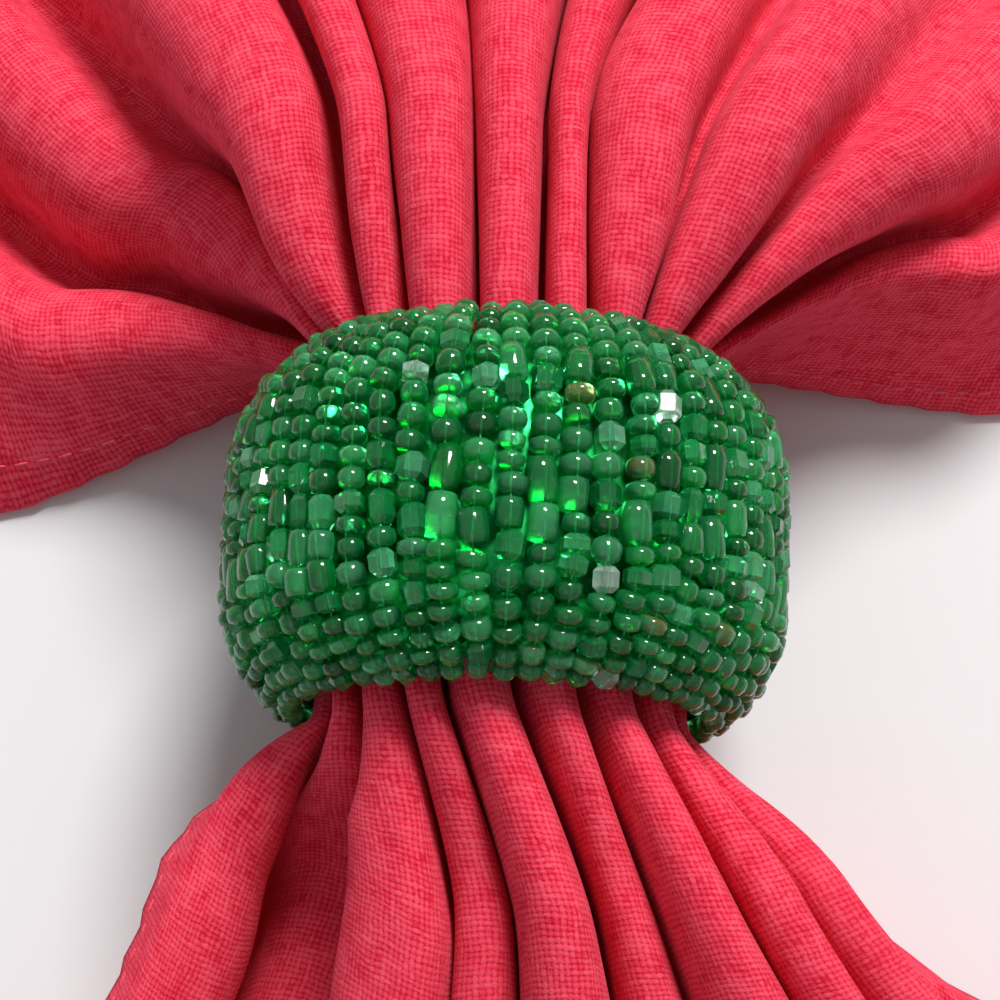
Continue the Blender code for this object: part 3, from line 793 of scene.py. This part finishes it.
def cloth_rows():
    """Places along the cloth where its sections are taken: close in the ring and at the hems."""
    side = np.concatenate([np.arange(*span) for span in ROW_SPANS]+[HEM_ROWS])
    return np.concatenate([-side[:0:-1], side])


def cloth_surface():
    """Points of the folded cloth, with each one's place on the flat cloth."""
    rows = cloth_rows()
    points = np.array([section(float(s), STEPS) for s in rows])
    turns = [0]+[len(EDGE_STEPS)-1+i*2*(len(STEPS)-1) for i in range(len(CRESTS))]
    turns.append(points.shape[1]-1)
    across = np.zeros(points.shape[:2])
    for line, (first, last) in enumerate(zip(turns, turns[1:])):
        run = np.cumsum(np.linalg.norm(np.diff(points[:, first:last+1], axis=1), axis=2), axis=1)
        across[:, first+1:last+1] = ACROSS[line]+BORE[line].cloth*run/run[:, -1:]
    return rows, points, across


def surface_normals(points):
    along = np.gradient(points, axis=0)
    over = np.gradient(points, axis=1)
    normals = np.cross(over, along)
    return normals/np.maximum(1e-9, np.linalg.norm(normals, axis=2, keepdims=True))


def relief(rows, across):
    """Small unevenness of real cloth: soft dents along the folds, and the hem drawn up by its stitches."""
    lift = np.zeros(across.shape)
    for j, s in enumerate(rows):
        loose = DENT_HELD+(1-DENT_HELD)*ease(*DENT_FADE, abs(s))
        for i, u in enumerate(across[j]):
            soft = sum(noise.noise(Vector((u/dent.across, s/dent.along, dent.plane)))*dent.high
                       for dent in DENTS)
            pull = HEM_PULL*math.sin(2*math.pi*s/STITCH_PITCH)*(1-ease(*HEM_FADE, min(u, NAPKIN-u)))
            lift[j, i] = soft*loose+pull*ease(*PULL_FADE, abs(s))
    return lift


def hem_share(rows, across):
    """1 on the folded hem, 0 on the single cloth."""
    edge = np.minimum(np.minimum(across, NAPKIN-across), (HALF-np.abs(rows))[:, None])
    return np.clip((HEM+HEM_STEP/2-edge)/HEM_STEP, 0, 1)


def make_napkin(mat):
    rows, points, across = cloth_surface()
    normals = surface_normals(points)
    points = points+normals*relief(rows, across)[:, :, None]
    hem = hem_share(rows, across)
    thick = CLOTH_T+(HEM_T-CLOTH_T)*hem
    points[:, :, 2] = np.maximum(points[:, :, 2], thick/2+TABLE_GAP)
    n = points.shape[1]
    faces = [(j*n+i, j*n+i+1, (j+1)*n+i+1, (j+1)*n+i) for j in range(len(rows)-1) for i in range(n-1)]
    sheet = place_mesh("napkin_sheet", points.reshape(-1, 3), faces, mat)
    flat = np.stack([across, np.broadcast_to(rows[:, None]+HALF, across.shape)], axis=2).reshape(-1, 2)
    layer = sheet.data.uv_layers.new(name="cloth_mm")
    corners = np.array([loop.vertex_index for loop in sheet.data.loops])
    layer.data.foreach_set("uv", flat[corners].reshape(-1))
    group = sheet.vertex_groups.new(name="hem")
    shares = (CLOTH_T/HEM_T+(1-CLOTH_T/HEM_T)*hem).reshape(-1)
    for i, share in enumerate(shares):
        group.add([i], float(share), "REPLACE")
    solid = sheet.modifiers.new("thickness", "SOLIDIFY")
    solid.thickness = HEM_T*MM
    solid.offset = 0
    solid.use_even_offset = False
    solid.vertex_group = "hem"
    solid.thickness_vertex_group = 0.0
    ob = settle(sheet, "napkin_cloth")
    return ob, rows, points, across, surface_normals(points)


def hem_line(points, across, normals, side):
    """Points and normals along a long hem, STITCH_IN from the edge on that side."""
    want = STITCH_IN if side < 0 else NAPKIN-STITCH_IN
    where, facing = [], []
    for j in range(len(points)):
        where.append(point_at(want, across[j], points[j]))
        facing.append(point_at(want, across[j], normals[j]))
    return np.array(where), np.array(facing)


def end_line(points, rows, normals, side):
    """The same along a short hem."""
    want = side*(HALF-STITCH_IN)
    j = int(np.searchsorted(rows, want))
    t = (want-rows[j-1])/(rows[j]-rows[j-1])
    return mix(points[j-1], points[j], t), mix(normals[j-1], normals[j], t)


def stitch_rows(points, across, rows, normals):
    """A stitch every pitch along each hem, on both faces of the cloth, where the table leaves room."""
    lines = [hem_line(points, across, normals, side) for side in (-1, 1)]
    lines += [end_line(points, rows, normals, side) for side in (-1, 1)]
    found = []
    for where, facing in lines:
        run = distances(where)
        for at in np.arange(STITCH_PITCH, run[-1]-STITCH_PITCH, STITCH_PITCH):
            p = point_at(at, run, where)
            ahead = point_at(at+STITCH_AHEAD, run, where)-p
            up = unit(point_at(at, run, facing))
            for face in (1, -1):
                seat = p+up*face*(HEM_T/2+STITCH_SEAT)
                if seat[2] > STITCH_D/2+STITCH_LONG/2*abs(unit(ahead)[2]):
                    found.append((seat, aimed(ahead, up*face),
                                  (STITCH_D/2*MM*STITCH_FLAT, STITCH_D/2*MM, STITCH_LONG/2*MM), PLAIN_TINT))
    return found


# ---------------- ring
def crown(y):
    """Radius of the ring's outside at y."""
    return RIM_R+(RING_R-RIM_R)*(1-abs(y/RING_HALF)**CROWN_POWER)


def crown_inset(y, depth):
    """(y, radius) at a depth under the crowned surface, square to it."""
    step = 0.01
    slope = (crown(y+step)-crown(y-step))/(2*step)
    norm = math.hypot(slope, 1)
    return y+slope*depth/norm, crown(y)-depth/norm


def strand_path():
    """(y, radius) along a strand, from one rim's inside over the crown to the other's."""
    over = [crown_inset(y, BEAD_SEAT) for y in np.linspace(-STRAND_REACH, STRAND_REACH, STRAND_STEPS)]
    path = [(-y, r) for y, r in reversed(LIP)]+over+list(LIP)
    path = np.array(path)
    return path, distances(path)


STRAND, STRAND_RUN = strand_path()
# Kinds of bead: length from and to, width from and to as shares of the widest, and how often each is picked.
Kind = namedtuple("Kind", "name shortest longest slimmest widest weight")
KINDS = [Kind(*row) for row in (
    ("seed",  1.6, 2.5, 0.86, 1.04, 50),      # rounded seed beads
    ("tube",  2.5, 4.4, 0.86, 1.00, 24),      # cut tube beads
    ("facet", 1.7, 3.2, 0.88, 1.03, 26),      # six-sided cut beads
)]


def string_strand(chance):
    """Beads picked at random until the strand is full: (its kind's row, place along the strand, length)."""
    total = STRAND_RUN[-1]
    at, picked = 0.0, []
    while total-at > KINDS[0].shortest:
        row = chance.choices(KINDS, [k.weight for k in KINDS])[0]
        long = chance.uniform(row.shortest, row.longest)
        if min(at, total-at-long) < SHOULDER and long > SHOULDER_LONG:
            row, long = KINDS[0], chance.uniform(KINDS[0].shortest, KINDS[0].longest)
        if at+long > total:
            break
        picked.append([row, at, long])
        at += long+BEAD_GAP
    slack = (total-at)/max(1, len(picked))
    return [(row, place+slack*(i+0.5), long) for i, (row, place, long) in enumerate(picked)]


def on_strand(run, angle, raised=0.0):
    y, r = point_at(run, STRAND_RUN, STRAND)
    r += raised
    return np.array([r*math.sin(angle), y, RING_R+r*math.cos(angle)])


def bead_rows():
    """Every bead's place, turn, stretch and tint, by kind, and the strands' own lines."""
    chance = random.Random(SEED)
    pitch = 2*math.pi/STRANDS
    rows = {row.name: [] for row in KINDS}
    lines = []
    for strand in range(STRANDS):
        base = (strand+chance.uniform(-STRAY, STRAY))*pitch
        sway = chance.uniform(-SWAY, SWAY)*pitch
        phase = chance.uniform(0, 2*math.pi)
        total = STRAND_RUN[-1]
        sunk = chance.uniform(*SUNK)

        def angle_on(run):
            return base+sway*math.sin(2*math.pi*run/total+phase)*math.sin(math.pi*run/total)

        ends = THREAD_SHORT, total-THREAD_SHORT
        lines.append([on_strand(run, angle_on(run)) for run in np.linspace(*ends, THREAD_STEPS)])
        for row, place, long in string_strand(chance):
            middle = place+long/2
            angle = angle_on(middle)+chance.uniform(-STRAY, STRAY)*pitch
            start, end = on_strand(place, angle), on_strand(place+long, angle)
            r = point_at(middle, STRAND_RUN, STRAND)[1]
            wide = min(BEAD_D, r*pitch*ROOM)*chance.uniform(row.slimmest, row.widest)
            raised = min(sunk+chance.uniform(*JUT), RING_R-TABLE_GAP-wide/2-r-TILT_ROOM*long)
            outward = np.array([math.sin(angle), 0, math.cos(angle)])
            centre = (start+end)/2+outward*raised
            tilt = np.array([chance.uniform(-TILT, TILT) for _ in range(3)])
            twist = chance.uniform(0, math.pi/3)
            side = np.cross(unit(end-start), outward)
            facing = outward*math.cos(twist)+side*math.sin(twist)
            turn = aimed(unit(end-start)+tilt, facing)
            rows[row.name].append((centre, turn, (wide/2*MM, wide/2*MM, long/2*MM), chance.random()))
    return rows, lines


def make_threads(lines, mat):
    """The beads' threads, along these lines."""
    verts = [p for line in lines for p in line]
    edges = [(i, i+1) for i in range(len(verts)-1) if (i+1) % THREAD_STEPS]
    mesh = bpy.data.meshes.new("strand_lines")
    mesh.from_pydata([tuple(ORIGIN+Vector(p)*MM) for p in verts], edges, [])
    return run_tree(show("strand_lines", mesh), thread_tree(), "bead_threads",
                    Diameter=THREAD_D*MM, Sides=5, Material=mat)


def make_band(mat):
    """The crowned hoop under the beads."""
    places = np.linspace(-BAND_REACH, BAND_REACH, BAND_STEPS)
    outer = [crown_inset(y, BAND_DEPTH) for y in places]
    inner = [crown_inset(y, BAND_DEPTH+BAND_T) for y in reversed(places)]
    profile = outer+inner
    n = len(profile)
    verts = []
    for turn in range(BAND_SIDES):
        a = 2*math.pi*turn/BAND_SIDES
        verts += [(r*math.sin(a), y, RING_R+r*math.cos(a)) for y, r in profile]
    faces = [(t*n+i, ((t+1) % BAND_SIDES)*n+i, ((t+1) % BAND_SIDES)*n+(i+1) % n, t*n+(i+1) % n)
             for t in range(BAND_SIDES) for i in range(n)]
    ob = place_mesh("ring_hoop", verts, faces, mat)
    bm = bmesh.new()
    bm.from_mesh(ob.data)
    bmesh.ops.recalc_face_normals(bm, faces=bm.faces)
    bm.to_mesh(ob.data)
    bm.free()
    ob.data.set_sharp_from_angle(angle=math.radians(BAND_SHARP))
    return ob


# ---------------- table and light
TABLE_REACH = 2.5  # m from the middle to the table's edges
WORLD_STRENGTH = 0.4
# Lamps; azimuth in degrees from the back, + to the right, distance and size in m.
Lamp = namedtuple("Lamp", "name azimuth elevation distance size watts colour")
LAMPS = (Lamp("key", 16.0, 50.0, 1.4, 0.5, 27.0, "#FFFCF8"),
         Lamp("fill", -150, 50, 1.3, 0.9, 0.8, "#F6F9FF"))
LAMP_AIM = (0, 0, 0.03)  # m, the napkin's middle above the table


def plain_table():
    """Matt pale card."""
    mat = new_material("pale_card", Base_Color=linear("#D0D1D5"), Roughness=0.9)[0]
    mesh = bpy.data.meshes.new("table")
    mesh.from_pydata([(x*TABLE_REACH, y*TABLE_REACH, 0) for x, y in ((-1, -1), (1, -1), (1, 1), (-1, 1))],
                     [], [(0, 1, 2, 3)])
    mesh.materials.append(mat)
    show("table", mesh)


def area_light(lamp):
    data = bpy.data.lights.new(lamp.name, "AREA")
    data.shape = "DISK"
    data.size = lamp.size
    data.energy = lamp.watts
    data.color = linear(lamp.colour)[:3]
    ob = show(lamp.name, data)
    azimuth, elevation = math.radians(lamp.azimuth), math.radians(lamp.elevation)
    at = Vector([lamp.distance*c for c in (math.sin(azimuth)*math.cos(elevation),
                                           math.cos(azimuth)*math.cos(elevation), math.sin(elevation))])
    ob.location = ORIGIN+at
    ob.rotation_euler = (at-Vector(LAMP_AIM)).to_track_quat("Z", "Y").to_euler()


def make_light():
    for lamp in LAMPS:
        area_light(lamp)
    world = bpy.data.worlds.new("studio")
    world.use_nodes = True
    background = world.node_tree.nodes["Background"]
    background.inputs["Color"].default_value = linear("#F7F7F7")
    background.inputs["Strength"].default_value = WORLD_STRENGTH
    bpy.context.scene.world = world
    # Shows each colour as it is given; the usual one greys the red.
    bpy.context.scene.view_settings.view_transform = "Standard"


# ---------------- the whole
def main():
    plain_table()
    make_light()
    cotton = plain_weave_cotton()
    napkin, rows, points, across, normals = make_napkin(cotton)
    strings, lines = bead_rows()
    tree = bead_tree()
    glass = bead_glass("green_seed_bead_glass", SEED_SHADES, roughness=0.06, transmission=0.86)
    cut = bead_glass("green_cut_bead_glass", CUT_SHADES, roughness=0.04, transmission=0.82)
    beads = [
        run_tree(points_mesh("seed_points", strings["seed"]), tree, "seed_beads",
                 Sides=12, Rings=6, Squareness=2.7, Hole=0.3, Smooth=True, Material=glass),
        run_tree(points_mesh("tube_points", strings["tube"]), tree, "tube_beads",
                 Sides=10, Rings=8, Squareness=7.0, Hole=0.1, Smooth=True, Material=glass),
        run_tree(points_mesh("facet_points", strings["facet"]), tree, "cut_beads",
                 Sides=6, Rings=6, Squareness=9.0, Hole=0.1, Smooth=False, Material=cut),
    ]
    threads = make_threads(lines, stringing_thread())
    hoop = make_band(lacquered_brass())
    stitches = run_tree(points_mesh("stitch_points", stitch_rows(points, across, rows, normals)), tree,
                        "hem_stitches", Sides=6, Rings=5, Squareness=3.0, Hole=0.0, Smooth=True,
                        Material=sewing_cotton())
    for piece in [napkin, stitches, threads, hoop]+beads:
        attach(piece, "root")
    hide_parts("napkin")
    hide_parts("bead_wrap")
    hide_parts("ring_band")


main()
